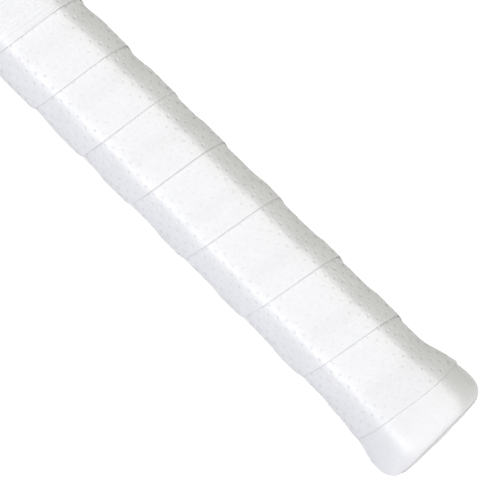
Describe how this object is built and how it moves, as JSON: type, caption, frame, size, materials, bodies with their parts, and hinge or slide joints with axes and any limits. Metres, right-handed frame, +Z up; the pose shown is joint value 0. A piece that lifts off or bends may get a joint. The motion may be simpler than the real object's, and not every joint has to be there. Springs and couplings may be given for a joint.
{
  "type": "racket handle wrapped in grip tape",
  "caption": "Octagonal racket handle wound with a perforated white grip tape, with a flared butt cap, a trap door, a rubber collar and cut-off shaft tubes.",
  "frame": {"origin": "On the surface that the handle lies on, under the middle of its bounding box.", "axes": "+X along the handle towards the butt, +Z up out of the upper wide flat, +Y across the handle."},
  "size_m": [0.238, 0.0406, 0.0369],
  "materials": {
    "graphite": "carbon-fibre laminate under clear lacquer",
    "plug_foam": "cut closed-cell foam",
    "pallet_foam": "moulded rigid polyurethane foam",
    "adhesive": "tacky double-sided film",
    "cap_plastic": "moulded satin plastic",
    "door_plastic": "moulded satin plastic",
    "disc_plastic": "blank polished inlay",
    "staple_steel": "drawn wire",
    "cushion_foam": "soft synthetic grip skin on felt",
    "finishing_film": "smooth stretched vinyl film",
    "tape": "soft tacky polyurethane skin, perforated, slight satin sheen",
    "collar_rubber": "moulded matt rubber"
  },
  "bodies": {
    "handle": {"shaft_tube_left": "graphite", "shaft_tube_right": "graphite", "tube_plug_left": "plug_foam", "tube_plug_right": "plug_foam", "pallet_upper": "pallet_foam", "pallet_lower": "pallet_foam", "adhesive_strip_upper": "adhesive", "adhesive_strip_lower": "adhesive", "butt_cap": "cap_plastic", "butt_cap_staple_upper": "staple_steel", "butt_cap_staple_lower": "staple_steel", "cushion_grip": "cushion_foam", "cushion_staple": "staple_steel", "cushion_end_tape": "finishing_film", "grip_tape": "tape", "grip_tape_end_band": "finishing_film"},
    "door": {"trap_door": "door_plastic", "trap_door_disc": "disc_plastic"},
    "collar": {"rubber_collar": "collar_rubber"}
  },
  "joints": [
    {"name": "trap_door_slide", "type": "slide", "parent": "handle", "child": "door", "axis": [1, 0, 0], "range_m": [0, 0.02]},
    {"name": "collar_slide", "type": "slide", "parent": "handle", "child": "collar", "axis": [-1, 0, 0], "range_m": [0, 0.022]}
  ]
}
